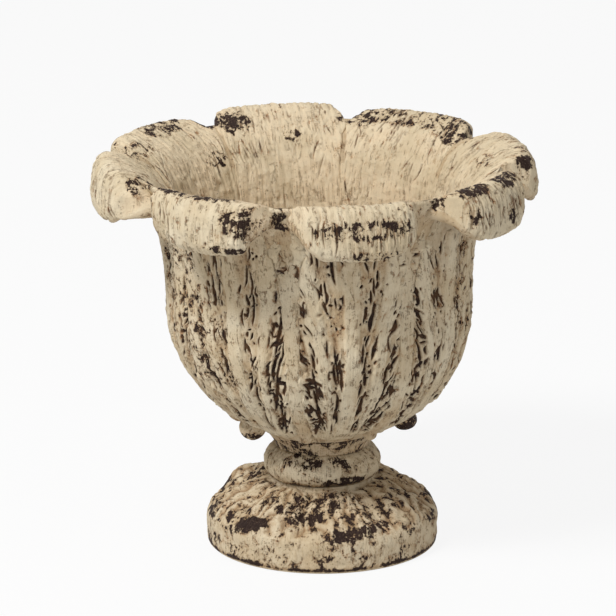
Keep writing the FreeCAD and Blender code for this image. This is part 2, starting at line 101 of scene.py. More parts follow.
def wall_point(along, lift):
    """Radius and height of a point off the bowl's wall, by its way up the wall from the bottom."""
    along, lift = np.broadcast_arrays(np.asarray(along, float), lift)
    quarter = BALL_RADIUS * math.pi / 2
    turn = along / BALL_RADIUS
    on_ball = ((BALL_RADIUS + lift) * np.sin(turn), BALL_MIDDLE - (BALL_RADIUS + lift) * np.cos(turn))
    tilt = (along - quarter) / FLARE_RADIUS
    reach = FLARE_RADIUS - lift
    on_flare = (BALL_RADIUS + FLARE_RADIUS - reach * np.cos(tilt), BALL_MIDDLE + reach * np.sin(tilt))
    return [np.where(along < quarter, low, high) for low, high in zip(on_ball, on_flare)]


def smooth_path(knots, spacing, lead):
    """Rows of numbers led smoothly through the knots. The first lead columns set the spacing."""
    knots = np.array(knots, float)
    gaps = np.linalg.norm(np.diff(knots[:, :lead], axis=0), axis=1)
    along = np.concatenate([[0.0], np.cumsum(gaps)])
    slopes = np.gradient(knots, along, axis=0)
    place = np.linspace(0, along[-1], int(along[-1] / spacing) + 1)
    i = np.clip(np.searchsorted(along, place, side="right") - 1, 0, len(gaps) - 1)
    gap = gaps[i][:, None]
    u = (place - along[i])[:, None] / gap
    return (
        (2 * u**3 - 3 * u**2 + 1) * knots[i]
        + (u**3 - 2 * u**2 + u) * gap * slopes[i]
        + (3 * u**2 - 2 * u**3) * knots[i + 1]
        + (u**3 - u**2) * gap * slopes[i + 1]
    )


def turned_about(points, angle):
    """Points turned about the urn's axis."""
    cosine, sine = math.cos(angle), math.sin(angle)
    x, y, z = np.moveaxis(points, -1, 0)
    return np.stack([x * cosine - y * sine, x * sine + y * cosine, z], axis=-1)


def slope(grid, axis, closed):
    """How the grid's points change along an axis."""
    if closed:
        return np.roll(grid, -1, axis) - np.roll(grid, 1, axis)
    return np.gradient(grid, axis=axis)


def outward(grid, rows_closed):
    """Unit normals of a grid whose columns run round a closed loop."""
    normal = np.cross(slope(grid, 1, True), slope(grid, 0, rows_closed))
    return normal / np.maximum(np.linalg.norm(normal, axis=-1, keepdims=True), 1e-9)


def bend(grid, normal, reach, rows_closed):
    """How far the surface bends away within a reach: positive on edges and ridges, negative in hollows."""
    total = 0.0
    for axis, closed in ((0, rows_closed), (1, True)):
        spacing = np.median(np.linalg.norm(np.diff(grid, axis=axis), axis=-1))
        count = max(1, round(reach / spacing))
        if closed:
            before, after = np.roll(grid, count, axis), np.roll(grid, -count, axis)
        else:
            numbers = np.arange(grid.shape[axis])
            before = grid[np.maximum(numbers - count, 0)]
            after = grid[np.minimum(numbers + count, len(numbers) - 1)]
        total = total + np.sum((grid - (before + after) / 2) * normal, axis=-1)
    return total


def leaning(points):
    """The urn's slight lean to the viewer's left, which grows with the height."""
    rise = np.clip((points[..., 2] - LEAN_FROM) / LEAN_RISE, 0, None) ** 1.4
    return points - RIM_LEAN * rise[..., None] * VIEWER_RIGHT


def lay_mesh(name, grid, rows_closed, material, fields, nodes):
    """A closed skin over a grid of points, riding on the urn in place of its solid."""
    rows, columns = grid.shape[:2]
    numbers = np.arange(rows * columns).reshape(rows, columns)
    below = numbers if rows_closed else numbers[:-1]
    above = np.roll(numbers, -1, 0) if rows_closed else numbers[1:]
    faces = np.stack([below, np.roll(below, -1, 1), np.roll(above, -1, 1), above], axis=-1).reshape(-1, 4)
    points = leaning(grid).reshape(-1, 3) * MM
    # Points that lie in one place become one
    places = np.round(points * 1e6).astype(np.int64)
    _, first, same = np.unique(places, axis=0, return_index=True, return_inverse=True)
    faces = same.reshape(-1)[faces]
    whole = np.all(faces != np.roll(faces, 1, axis=1), axis=1)
    pinched = [tuple(dict.fromkeys(face)) for face in faces[~whole].tolist()]
    pinched = [face for face in pinched if len(face) > 2]
    mesh = bpy.data.meshes.new(name)
    mesh.from_pydata(points[first].tolist(), [], faces[whole].tolist() + pinched)
    mesh.validate()
    mesh.polygons.foreach_set("use_smooth", [True] * len(mesh.polygons))
    for label, values in fields.items():
        kind, entry, width = ("FLOAT_VECTOR", "vector", 3) if values.ndim == 3 else ("FLOAT", "value", 1)
        layer = mesh.attributes.new(label, kind, "POINT")
        layer.data.foreach_set(entry, values.reshape(-1, width)[first].astype(np.float32).reshape(-1))
    mesh.materials.append(material)
    piece = bpy.data.objects.new(name, mesh)
    bpy.context.collection.objects.link(piece)
    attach(piece, "root")
    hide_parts(*nodes)


# Materials


class Wire:
    """A value in a material. Arithmetic on it adds Math nodes."""

    def __init__(self, finish, socket):
        self.finish = finish
        self.socket = socket

    def math(self, operation, *terms):
        return self.finish.node("ShaderNodeMath", {"operation": operation}, dict(enumerate(terms)))

    def __add__(self, other):
        return self.math("ADD", self, other)

    def __sub__(self, other):
        return self.math("SUBTRACT", self, other)

    def __rsub__(self, other):
        return self.math("SUBTRACT", other, self)

    def __mul__(self, other):
        return self.math("MULTIPLY", self, other)

    __radd__ = __add__


class Finish:
    """The nodes of one material, or of the world, under construction."""

    def __init__(self, holder):
        self.holder = holder
        holder.use_nodes = True
        self.tree = holder.node_tree
        self.tree.nodes.clear()

    def node(self, kind, settings=None, sockets=None, output=0):
        """A node of a kind, with its settings and then the values or links of its sockets."""
        node = self.tree.nodes.new(kind)
        for name, value in (settings or {}).items():
            setattr(node, name, value)
        for name, value in (sockets or {}).items():
            if isinstance(value, Wire):
                self.tree.links.new(value.socket, node.inputs[name])
            else:
                node.inputs[name].default_value = value
        return Wire(self, node.outputs[output]) if node.outputs else None

    def field(self, name, output="Fac"):
        """A value or a vector stored at the mesh's points."""
        settings = {"attribute_type": "GEOMETRY", "attribute_name": name}
        return self.node("ShaderNodeAttribute", settings, output=output)

    def grain(self, size, detail=3.0, roughness=0.55, stretch=(1, 1, 1), distortion=0.0, place=None):
        """Noise from about 0 to 1, with lumps of a size in millimetres that are longer by the stretch."""
        scale = [1 / (size * MM * long) for long in stretch]
        place = place or self.node("ShaderNodeTexCoord", output="Object")
        place = self.node("ShaderNodeVectorMath", {"operation": "MULTIPLY"}, {0: place, 1: scale})
        sockets = {"Vector": place, "Scale": 1.0, "Detail": detail}
        sockets |= {"Roughness": roughness, "Distortion": distortion}
        return self.node("ShaderNodeTexNoise", {"noise_dimensions": "3D"}, sockets)

    def soft_step(self, value, low, high):
        sockets = {"Value": value, "From Min": low, "From Max": high}
        return self.node("ShaderNodeMapRange", {"interpolation_type": "SMOOTHSTEP"}, sockets)

    def blend(self, share, first, second):
        """A colour that goes from the first to the second by a share."""
        return self.node("ShaderNodeMix", {"data_type": "RGBA"}, {0: share, 6: first, 7: second}, output=2)

    def finish(self, sockets, height=None, depth=0.0, specular=0.3):
        """Ends the material in one surface shader, with a bump from a height in shares of a depth."""
        if height is not None:
            bump = {"Height": height, "Distance": depth * MM, "Strength": 1.0}
            sockets["Normal"] = self.node("ShaderNodeBump", {}, bump)
        sockets["Specular IOR Level"] = specular
        surface = self.node("ShaderNodeBsdfPrincipled", {}, sockets)
        self.node("ShaderNodeOutputMaterial", {}, {"Surface": surface})
        return self.holder

    def in_view(self):
        """1 where the viewer looks straight, or in a mirror or through glass, and 0 for other light."""
        rays = ("Is Camera Ray", "Is Glossy Ray", "Is Transmission Ray")
        straight, mirrored, through = [self.node("ShaderNodeLightPath", output=ray) for ray in rays]
        return straight.math("MAXIMUM", straight.math("MAXIMUM", straight, mirrored), through)


def tint(red, green, blue):
    """A colour given as on a screen, from 0 to 255, as the linear colour that materials take."""
    def linear(value):
        value /= 255
        return value / 12.92 if value <= 0.04045 else ((value + 0.055) / 1.055) ** 2.4

    return (linear(red), linear(green), linear(blue), 1.0)


CREAM = tint(210, 192, 160)
PALE_CREAM = tint(224, 210, 182)
LIT_PEACH = tint(226, 204, 170)
TAN = tint(170, 138, 100)
UMBER = tint(106, 78, 53)
DARK_COAT = tint(48, 35, 30)
GREY_COAT = tint(90, 73, 62)
RUST = tint(158, 98, 56)


def chipped_paint():
    """Brushed cream paint, worn through to a dark coat where the field bare is high, with brown grime in
    hollows and beside chisel strokes and painted shade under the leaves' lips, both from one field, and a
    painted highlight on the rims beside the strokes. The bowl's inside is painted a lighter peach, partly as
    painted light.
    The field flow gives a place across and along the carving, so that fine lines and chips follow it."""
    paint = Finish(bpy.data.materials.new("chipped_cream_paint"))
    bare, grime_and_shade, inside = [paint.field(name) for name in ("bare", "grime_and_shade", "inside")]
    stroke, rim_and_highlight = [paint.field(name) for name in ("stroke", "rim_and_highlight")]
    flow = paint.field("flow", "Vector")
    broad = paint.grain(34, 3)
    patch = paint.grain(7, 4, 0.6, distortion=0.5)
    ragged = paint.grain(2.2, 4, 0.65, distortion=0.8)
    fine = paint.grain(0.9, 2)
    streak = paint.grain(3.0, 3, 0.6, stretch=(1, 1, 2.4), distortion=0.8, place=flow)
    brush = paint.grain(1.0, 3, 0.6, stretch=(1, 1, 8), distortion=0.3, place=flow)
    wander = paint.grain(3.4, 4, 0.55, stretch=(1, 1, 8), distortion=0.4, place=flow)

    # Where the paint is gone: in ragged patches, along chisel strokes and in small specks
    wear = bare + (streak - 0.5) * 0.6 + (patch - 0.5) * 0.9 + (ragged - 0.5) * 0.7
    gone = paint.soft_step(wear, 0.5, 0.54)
    carved = paint.soft_step(stroke + (ragged - 0.5) * 0.4 + (patch - 0.5) * 0.4, 0.38, 0.52)
    chip = gone.math("MAXIMUM", gone, carved)
    halo = paint.soft_step(wear + stroke * 0.2, 0.36, 0.5)
    dotted = fine * 0.6 + ragged * 0.5 + (bare - 0.2) * 0.25 + (patch - 0.5) * 0.25
    speck = paint.soft_step(dotted, 0.705, 0.745)

    # Thin broken wrinkles
    off_line = wander - 0.5
    wrinkle = 1 - paint.soft_step(off_line.math("ABSOLUTE", off_line), 0.008, 0.04)
    wrinkle = wrinkle * paint.soft_step(ragged + (patch - 0.5), 0.45, 0.62)

    coat = paint.blend(paint.soft_step(broad, 0.35, 0.65), CREAM, PALE_CREAM)
    # Inside the bowl the paint turns a lighter peach and takes fewer tan brush marks: partly the paint's own
    # tone, partly painted light for the light that falls into the bowl
    coat = paint.blend(inside * paint.soft_step(broad + (patch - 0.5) * 0.6, 0.3, 0.7) * 0.8, coat, LIT_PEACH)
    coat = paint.blend(paint.soft_step(brush, 0.5, 0.72) * (0.3 - inside * 0.15), coat, TAN)
    coat = paint.blend(paint.soft_step(fine + (patch - 0.5), 0.5, 0.85) * 0.3, coat, TAN)
    # Brown grime and painted shade from one field: tan where it is moderate, umber where it is strongest
    coat = paint.blend(paint.soft_step(grime_and_shade + (patch - 0.5) * 0.5, 0.15, 0.8) * 0.75, coat, TAN)
    coat = paint.blend(paint.soft_step(grime_and_shade + (ragged - 0.5) * 0.7, 0.5, 1.0) * 0.7, coat, UMBER)
    beside = paint.soft_step(stroke + (ragged - 0.5) * 0.3, 0.04, 0.4)
    coat = paint.blend(beside * 0.7, coat, UMBER)
    coat = paint.blend(beside * paint.soft_step(patch, 0.5, 0.62) * 0.6, coat, RUST)
    # Painted highlight: the raised rims beside the chisel strokes are lightened to pale cream
    coat = paint.blend(rim_and_highlight * 0.7, coat, PALE_CREAM)
    coat = paint.blend(wrinkle * (0.65 - inside * 0.25), coat, UMBER)
    coat = paint.blend(halo * paint.soft_step(patch, 0.54, 0.66) * 0.5, coat, RUST)
    coat = paint.blend(halo * 0.4, coat, TAN)
    bare_coat = paint.blend(paint.soft_step(fine + (ragged - 0.5), 0.5, 0.85), DARK_COAT, GREY_COAT)
    bare_coat = paint.blend(carved * paint.soft_step(patch, 0.4, 0.6) * 0.6, bare_coat, UMBER)
    colour = paint.blend(chip.math("MAXIMUM", chip, speck * 0.8), coat, bare_coat)

    height = (1 - chip) * 0.5 + (ragged - 0.5) * 0.5 + (fine - 0.5) * 0.3
    height = height + (brush - 0.5) * 0.35 - wrinkle * 0.3
    roughness = 0.82 - chip * 0.2 + (fine - 0.5) * 0.12
    return paint.finish({"Base Color": colour, "Roughness": roughness}, height, depth=1.3, specular=0.1)


def zinc_steel():
    zinc = Finish(bpy.data.materials.new("zinc_steel"))
    spangle = zinc.grain(3.0, 2)
    scratch = zinc.grain(0.6, 3, 0.6, stretch=(1, 1, 8))
    stain = zinc.soft_step(zinc.grain(6.0, 4, 0.6), 0.55, 0.75)
    colour = zinc.blend(spangle, tint(150, 150, 150), tint(186, 186, 184))
    colour = zinc.blend(stain * 0.5, colour, tint(120, 92, 70))
    roughness = 0.34 + scratch * 0.2 + stain * 0.25
    sockets = {"Base Color": colour, "Roughness": roughness, "Metallic": 1 - stain * 0.7}
    return zinc.finish(sockets, scratch, depth=0.1, specular=0.5)


def seal_rubber():
    rubber = Finish(bpy.data.materials.new("seal_rubber"))
    bloom = rubber.grain(4.0, 3)
    pits = rubber.grain(0.5, 2)
    colour = rubber.blend(bloom, tint(30, 30, 31), tint(58, 56, 54))
    sockets = {"Base Color": colour, "Roughness": 0.7 + (bloom - 0.5) * 0.2}
    return rubber.finish(sockets, pits, depth=0.15)


PAINT = chipped_paint()


# Wear

# Places where more paint is gone: turn from the viewer to the right in degrees, radius, height, reach around,
# out and up, and how much more is bare
WORN_PLACES = (
    (13, 151, 262, 46, 12, 9, 0.27),  # front lip, along its roll
    (15, 150, 245, 28, 8, 5, 0.25),  # and its lower edge
    (12, 137, 277, 44, 9, 4, 0.16),
    (-34, 139, 277, 42, 9, 5, 0.30),  # front left lip, along its crest
    (-20, 150, 264, 20, 9, 12, 0.25),
    (-24, 150, 247, 20, 8, 5, 0.30),
    (-11, 123, 264, 9, 10, 14, 0.34),  # the mouth's edge between those two
    (-61, 138, 272, 14, 10, 8, 0.34),  # left lip
    (-66, 128, 271, 20, 9, 6, 0.26),
    (-145, 133, 275, 12, 14, 8, 0.36),  # back left lip, at its end
    (-153, 128, 270, 18, 18, 14, 0.32),
    (-139, 105, 254, 12, 8, 9, 0.32),
    (-172, 112, 264, 9, 9, 6, 0.32),
    (-128, 136, 276, 30, 14, 8, 0.26),
    (-104, 128, 270, 26, 14, 8, 0.22),
    (48, 140, 275, 18, 11, 7, 0.32),  # front right lip
    (63, 143, 276, 20, 10, 7, 0.32),
    (45, 148, 262, 9, 8, 9, 0.28),
    (60, 151, 254, 9, 8, 7, 0.30),
    (39, 131, 269, 7, 8, 6, 0.34),
    (85, 146, 274, 18, 10, 8, 0.26),  # right lip
    (147, 134, 275, 70, 14, 9, 0.22),  # back right lip
    (128, 128, 272, 24, 20, 14, 0.27),
    (166, 128, 272, 20, 14, 9, 0.26),
    (100, 116, 266, 18, 10, 8, 0.18),
    (-62, 104, 205, 40, 16, 55, 0.18),  # the body's left side
    (-46, 104, 150, 34, 16, 44, 0.18),
    (70, 104, 190, 36, 16, 60, 0.13),  # and its right side
    (-17, 37, 68, 14, 8, 9, 0.14),  # knop, at its top
    (22, 37, 67, 12, 8, 8, 0.14),
    (22, 40, 52, 26, 9, 5, 0.24),  # and along its bottom
    (20, 42, 80, 22, 12, 10, 0.16),  # neck
    (-24, 40, 78, 12, 12, 8, 0.14),
    (-12, 56, 36, 30, 20, 10, 0.12),  # foot
    (-38, 73, 27, 12, 6, 5, 0.30),
    (79, 60, 90, 14, 14, 11, 0.34),  # the dark ball on the right
    (-55, 60, 88, 12, 12, 6, 0.16),
)


def rubbed(points):
    """How much more paint is gone at the worn places."""
    x, y, z = np.moveaxis(points, -1, 0)
    radius = np.hypot(x, y)
    turn = np.arctan2(y, x) - FRONT - VIEW_ANGLE
    total = np.zeros_like(z)
    for degrees, out, height, reach_around, reach_out, reach_up, more in WORN_PLACES:
        aside = (turn - math.radians(degrees) + math.pi) % (2 * math.pi) - math.pi
        around = radius * aside / reach_around
        away = np.sqrt(around**2 + ((radius - out) / reach_out) ** 2 + ((z - height) / reach_up) ** 2)
        total = np.maximum(total, more * (1 - step(0.6, 1.0, away)))
    return total


def patchy(points, cell, seed, low, high):
    """Broken patches from 0 to 1."""
    return step(low, high, rough(points, cell, seed))


# Leaves


def leaf_knots():
    """Sections along a leaf from its stem to the tip of its lip. Each row holds the middle of the inner face,
    the middle of the outer face, the edge of each face with its half width, and how square the section's
    corners are."""
    knots = []
    inner, outer = wall_point(50.0, -2.0), wall_point(50.0, -1.6)
    knots.append([*inner, *outer, *inner, 6.0, *outer, 6.0, 3.0])
    # On the wall: way up, half width outside and inside, relief outside and depth inside
    blade = [(54, 9, 9, 0.0, 2.5), (60, 13.5, 13.5, 0.4, 2.5), (68, 19, 19, 1.0, 2.5), (84, 27, 27, 1.8, 2.5)]
    blade += [(112, 33, 33, 3.8, 2.5), (140, 36, 35, 5.2, 2.5), (152, 36.2, 35, 5.2, 4.5)]
    blade += [(162, 36.2, 35.5, 5.2, 7.5), (180, 35.2, 36, 5.0, 7.9), (200, 33.2, 36.5, 5.0, 7.9)]
    blade += [(216, 31.2, 37, 5.0, 7.9)]
    for along, half_width, inner_half_width, lift, depth in blade:
        inner, inner_edge = wall_point(along, -depth), wall_point(along, -0.8 * depth)
        outer, shoulder = wall_point(along, lift), wall_point(along, lift - 2.2)
        knots.append([*inner, *outer, *inner_edge, inner_half_width, *shoulder, half_width, 5.0])
    knots += [
        [102.6, 247.4, 112.2, 236.0, 104.6, 246.6, 37.6, 109.5, 234.5, 29.5, 6.0],
        [106.2, 254.0, 114.0, 245.0, 108.0, 253.0, 39.4, 112.2, 243.5, 31.0, 6.0],
        [110.3, 259.8, 117.0, 252.6, 112.0, 258.6, 41.0, 115.0, 250.6, 32.0, 7.0],
        [116.0, 265.6, 121.4, 258.8, 117.2, 263.8, 42.2, 119.0, 256.0, 33.0, 8.0],
        [122.5, 270.3, 127.0, 263.4, 123.2, 267.2, 42.6, 124.2, 258.5, 33.0, 9.0],
        [129.3, 274.2, 132.6, 266.3, 129.4, 267.6, 41.8, 129.6, 258.0, 33.0, 9.0],
        [136.0, 277.2, 137.6, 267.6, 135.4, 266.0, 40.4, 134.4, 256.6, 32.5, 9.0],
        [141.5, 278.4, 141.0, 266.0, 140.4, 262.6, 39.0, 137.6, 254.6, 31.5, 8.0],
        [147.0, 276.2, 143.0, 262.0, 144.8, 258.6, 37.6, 139.8, 252.2, 30.0, 7.0],
        [150.9, 269.8, 143.9, 257.0, 148.0, 254.8, 35.6, 141.5, 250.0, 28.0, 6.0],
        [152.9, 260.6, 144.5, 251.8, 149.6, 251.4, 32.6, 143.0, 248.2, 25.6, 5.0],
        [153.5, 252.0, 145.4, 247.6, 150.4, 248.4, 28.6, 144.6, 246.4, 23.0, 4.0],
        [152.4, 245.2, 147.0, 244.0, 150.0, 245.8, 23.6, 146.6, 245.0, 20.5, 3.0],
        [149.4, 242.0, 149.4, 242.0, 148.4, 243.6, 18.0, 148.4, 243.6, 18.0, 2.4],
    ]
    return knots


# Rows along a leaf, and points across it: on the inner face, on the outer face and round each edge
LEAF_ROW = 1.05
ACROSS_INNER = 116
ACROSS_OUTER = 130
ROUND_EDGE = 5


def face_across(middle, edge, half_width, square, count):
    """Points of one face across the leaf, from left to right. middle and edge are radii and heights."""
    place = np.linspace(-1, 1, count)
    side = np.sign(place) * (1 - (1 - np.abs(place)) ** 1.5)
    square = square[:, None]
    over = (1 - np.abs(side) ** square) ** (1 / square)
    radius, height = [e[:, None] + (m - e)[:, None] * over for m, e in zip(middle, edge)]
    across = half_width[:, None] * side
    return np.stack([np.sqrt(radius**2 - across**2), across, height], axis=-1)


def round_edge(first, last, middle):
    """Points of a half round between the ends of the two faces, bulging away from the leaf's middle."""
    centre, half = (first + last) / 2, (first - last) / 2
    out = np.cross(np.gradient(centre, axis=0), half)
    out *= np.sign(np.sum(out * (centre - middle), axis=-1, keepdims=True))
    out /= np.maximum(np.linalg.norm(out, axis=-1, keepdims=True), 1e-9)
    out *= np.linalg.norm(half, axis=-1, keepdims=True)
    turns = np.linspace(0, math.pi, ROUND_EDGE + 2)[1:-1]
    return np.stack([centre + half * math.cos(turn) + out * math.sin(turn) for turn in turns], axis=1)


def leaf_blank(wider, higher, further, skew, deeper):
    """The plain leaf, pointing along X: its grid, its outer half width and the way along each face."""
    rows = smooth_path(leaf_knots(), LEAF_ROW, 4)
    columns = rows.T.copy()
    lip = np.clip(step(262, 279, np.maximum(columns[1], columns[3])) + (columns[0] > 128.5), 0, 1)
    for height in (1, 3, 5, 8):
        columns[height] += higher * lip
    for reach in (0, 2, 4, 7):
        columns[reach] += further * step(118, 150, columns[reach])
    for width in (6, 9):
        columns[width] *= 1 + (wider - 1) * step(112, 126, columns[0])
    square = columns[10]
    inner = face_across(columns[0:2], columns[4:6], columns[6], square, ACROSS_INNER)[:, ::-1]
    outer = face_across(columns[2:4], columns[7:9], columns[9], square, ACROSS_OUTER)
    middle = (inner[:, ACROSS_INNER // 2] + outer[:, ACROSS_OUTER // 2]) / 2
    left = round_edge(inner[:, -1], outer[:, 0], middle)
    right = round_edge(outer[:, -1], inner[:, 0], middle)
    grid = np.concatenate([inner, left, outer, right], axis=1)
    # A lip may hang askew, and may have one side that hangs deeper
    hang = step(130, 152, columns[0]) * step(278, 244, columns[1])
    grid[..., 1] += skew * hang[:, None]
    on_side = step(26, 38, grid[..., 1] * np.sign(deeper)) * step(112, 122, grid[..., 0])
    grid[..., 2] -= abs(deeper) * on_side * step(244, 262, grid[..., 2])
    ways = []
    for line in (inner[:, ACROSS_INNER // 2], outer[:, ACROSS_OUTER // 2]):
        ways.append(np.concatenate([[0.0], np.cumsum(np.linalg.norm(np.diff(line, axis=0), axis=1))]))
    return grid, columns[9], ways


def cuts(lane, width_there, way, seed, strokes):
    """Tapered strokes of a chisel along the ribs, and the rims that they throw up, both from 0 to 1. lane is
    the place across as a share of the width, and way is how far along the leaf each row lies. Each kind of
    stroke has its number, lanes, first and last place, lengths, widths and spread of slant in degrees."""
    random = np.random.default_rng(seed)
    deepest, rim_and_highlight = np.zeros_like(lane), np.zeros_like(lane)
    for count, lanes, places, lengths, widths, spread in strokes:
        for _ in range(count):
            middle_lane = random.choice(lanes) * random.choice((-1, 1)) + random.normal(0, 0.04)
            middle = random.uniform(*places)
            length = random.uniform(*lengths)
            width = random.uniform(*widths)
            slant = math.radians(random.normal(0.6 * middle_lane, 1.0) * spread)
            curve = random.normal(0, 0.25)
            near = slice(*np.searchsorted(way, (middle - length / 2, middle + length / 2)))
            run = way[near, None] - middle
            aside = (lane[near] - middle_lane) * width_there[near, None]
            onward = run * math.cos(slant) + aside * math.sin(slant)
            across = aside * math.cos(slant) - run * math.sin(slant) - curve * onward**2 / length
            end = np.clip(1 - (2 * onward / length) ** 2, 0, 1)
            away = np.abs(across) / (width * (0.4 + 0.6 * end))
            deepest[near] = np.maximum(deepest[near], np.sqrt(end) * np.exp(-(away**2)))
            rim_and_highlight[near] = np.maximum(rim_and_highlight[near], np.sqrt(end) * np.exp(-(((away - 2.0) / 0.8) ** 2)))
    return deepest, rim_and_highlight


# On the blade a lane of 1 is the side rib, about a lane's width from the midrib half way up. On the lip it is
# near the edge.
LANE_WIDTH = 18
BLADE_LANES = np.linspace(0.22, 1.9, 22)
BLADE_STROKES = (
    (30, (0.42, 0.55, 1.4, 1.55), (14, 172), (10, 30), (0.7, 1.3), 3),
    (190, BLADE_LANES, (20, 176), (4, 15), (0.5, 1.0), 12),
    (50, BLADE_LANES[10:], (24, 160), (6, 14), (1.0, 1.8), 45),
    (170, BLADE_LANES, (22, 178), (1.5, 4), (0.6, 1.0), 20),
)
LIP_HALF_WIDTH = 40.0
LIP_LANES = np.linspace(0.08, 0.97, 20)
LIP_STROKES = (
    (70, LIP_LANES[:17], (-4, 50), (6, 24), (0.45, 0.75), 6),
    (40, LIP_LANES[:18], (0, 56), (2, 6), (0.6, 1.2), 20),
    (24, LIP_LANES, (-60, 4), (10, 34), (0.5, 0.8), 12),
)


def leaf(number, wider=1.0, higher=0.0, further=0.0, skew=0.0, deeper=0.0):
    """One acanthus leaf: a carved blade on the bowl and a thick lip curled over the rim."""
    angle = FRONT + SECTOR * (number - 1)
    grid, half_width, (inner_way, outer_way) = leaf_blank(wider, higher, further, skew, deeper)
    seed = 100 * number
    rows, columns = grid.shape[:2]
    placed = turned_about(grid, angle)
    normal = outward(grid, False)
    is_inner = np.zeros((rows, columns))
    is_inner[:, :ACROSS_INNER] = 1.0
    is_outer = 1 - is_inner
    x, y, z = np.moveaxis(grid, -1, 0)
    way = outer_way[:, None] + np.zeros((1, columns))

    # The blade: a smooth midrib and two side ribs that run out from the stem like a V, with chisel strokes
    # between them
    fan = 6 + 0.15 * outer_way
    lane = y / fan[:, None] + rough(grid, 22, seed + 1) * 0.08
    off_ribs = step(4.0, 6.5, np.abs(y)) * (1 - np.exp(-(((np.abs(lane) - 1) / 0.17) ** 2)))
    blade = is_outer * step(6, 30, way) * (1 - step(166, 190, way))
    open_groove = patchy(grid, (14, 14, 34), seed + 2, -0.4, 0.3)
    blade_cuts = cuts(lane, fan, outer_way, seed + 3, BLADE_STROKES)
    stroke, rim_and_highlight = [field * blade * off_ribs for field in blade_cuts]
    lobes = ridge(way / 15 + np.sign(y) * 0.25 + rough(grid, 15, seed + 4) * 0.7, 0.8) - 0.5
    lobes *= step(0.6, 0.9, np.abs(y) / half_width[:, None])
    groove = ((1 - ridge(lane, 0.9)) * (0.5 + 0.5 * open_groove) + 0.4 * (1 - ridge(2 * lane))) * off_ribs
    relief = 1.2 - 3.0 * groove + (1.6 * lobes + rough(grid, 9, seed + 5) * 1.3) * off_ribs
    grain = rough(np.stack([lane * LANE_WIDTH, 0 * way + seed, way], -1), (3.0, 1, 22), seed + 8)
    relief += 0.7 * rim_and_highlight - 1.9 * stroke + 0.9 * grain * off_ribs
    # The midrib covers the end of the leaf's screw
    relief += np.exp(-((y / 7) ** 2) - ((z - 160) / 12) ** 2)

    # The lip and the leaf's face inside the bowl: fine veins that run out over the crest
    lip_top = is_inner * step(180, 200, z)
    veins = ridge(y / 5.2 + rough(grid, (30, 12, 30), seed + 6) * 0.9, 0.8)
    to_rim = inner_way - np.interp(122.0, grid[:, ACROSS_INNER // 2, 0], inner_way)
    lip_width = np.full(rows, LIP_HALF_WIDTH)
    lip_cuts = cuts(y / LIP_HALF_WIDTH, lip_width, to_rim, seed + 7, LIP_STROKES)
    vein_cut, vein_rim_and_highlight = [field * lip_top for field in lip_cuts]
    vein_cut *= patchy(placed, 20, 33, -0.35, 0.3)
    ends = step(0, 5, way) * (1 - step(outer_way[-1] - 2.0, outer_way[-1] - 0.2, way))
    lumps = (rough(placed, 24, 5) * 1.1 + rough(placed, 8, 6) * 1.0) * (1 - 0.6 * blade * (1 - off_ribs))
    lumps += rough(placed, 2.8, 7) * 0.5
    height = blade * relief + lip_top * (0.7 * (veins - 0.7) + 0.4 * vein_rim_and_highlight - 0.9 * vein_cut) + lumps * ends
    carved = placed + turned_about(normal, angle) * height[..., None]

    bent = bend(carved, turned_about(normal, angle), 4.0, False)
    lip = step(112, 122, x)
    worn = patchy(placed, (24, 24, 14), 31, -0.25, 0.35)
    bare = 0.2 + blade * 0.1 * groove + lip * (0.03 + step(0.4, 1.6, bent) * worn * 0.16) + rubbed(placed)
    # Painted shade on the outer face under the lip, where the lip overhangs it. The lip's front and its top
    # face get less of the field, so they are lighter
    under_lip_shade = is_outer * step(105, 118, x) * step(215, 240, z)
    grime_and_shade = is_outer * 0.14 + blade * (0.06 + 0.4 * stroke + 0.5 * groove - 0.3 * grain)
    grime_and_shade += under_lip_shade * 0.35 + 0.5 * vein_cut
    grime_and_shade -= 0.12 * is_outer * step(140, 150, x) + 0.1 * lip * is_inner
    inside = is_inner * (1 - step(134, 148, x))
    sideways = np.where(is_outer * (way < 180), lane * LANE_WIDTH, y)
    flow = np.stack([sideways, 0 * way + 60 * number, way], axis=-1) * MM
    fields = {"bare": bare, "grime_and_shade": grime_and_shade, "inside": inside, "flow": flow}
    fields |= {"stroke": stroke + 0.55 * vein_cut, "rim_and_highlight": rim_and_highlight + 0.5 * vein_rim_and_highlight}
    lay_mesh(f"acanthus_leaf_{number}", carved, False, PAINT, fields, [f"leaf_{number}"])


# The leaves differ a little, as hand-finished castings do: width, height and reach of the lip, how far its
# tip hangs aside, and how much deeper one side hangs
LEAF_HABITS = {
    1: (1.0, -1.2, 0.0, 0.0, 0.0),
    2: (0.98, -0.6, -0.5, 0.0, 0.0),
    3: (1.0, 0.6, 0.6, 0.0, 0.0),
    4: (1.12, 0.0, 0.0, 0.0, 0.0),
    5: (1.12, 1.4, 0.0, 0.0, 0.0),
    6: (1.08, -0.4, 0.4, 0.0, 0.0),
    7: (1.0, 0.4, 1.2, 0.0, 9.0),
    8: (1.02, -0.4, 0.0, 7.0, 0.0),
}
for number, habit in LEAF_HABITS.items():
    leaf(number, *habit)


# Spears between the leaves. The balls under the two that face the viewer are worn down.
WORN_BALLS = (1, 8)
BALL_WAY = 62.0
BALL_SIZE = 9.4
WORN_BALL_SIZE = 5.0
SPEAR_ROW = 1.1
SPEAR_ACROSS_INNER = 26
SPEAR_ACROSS_OUTER = 44


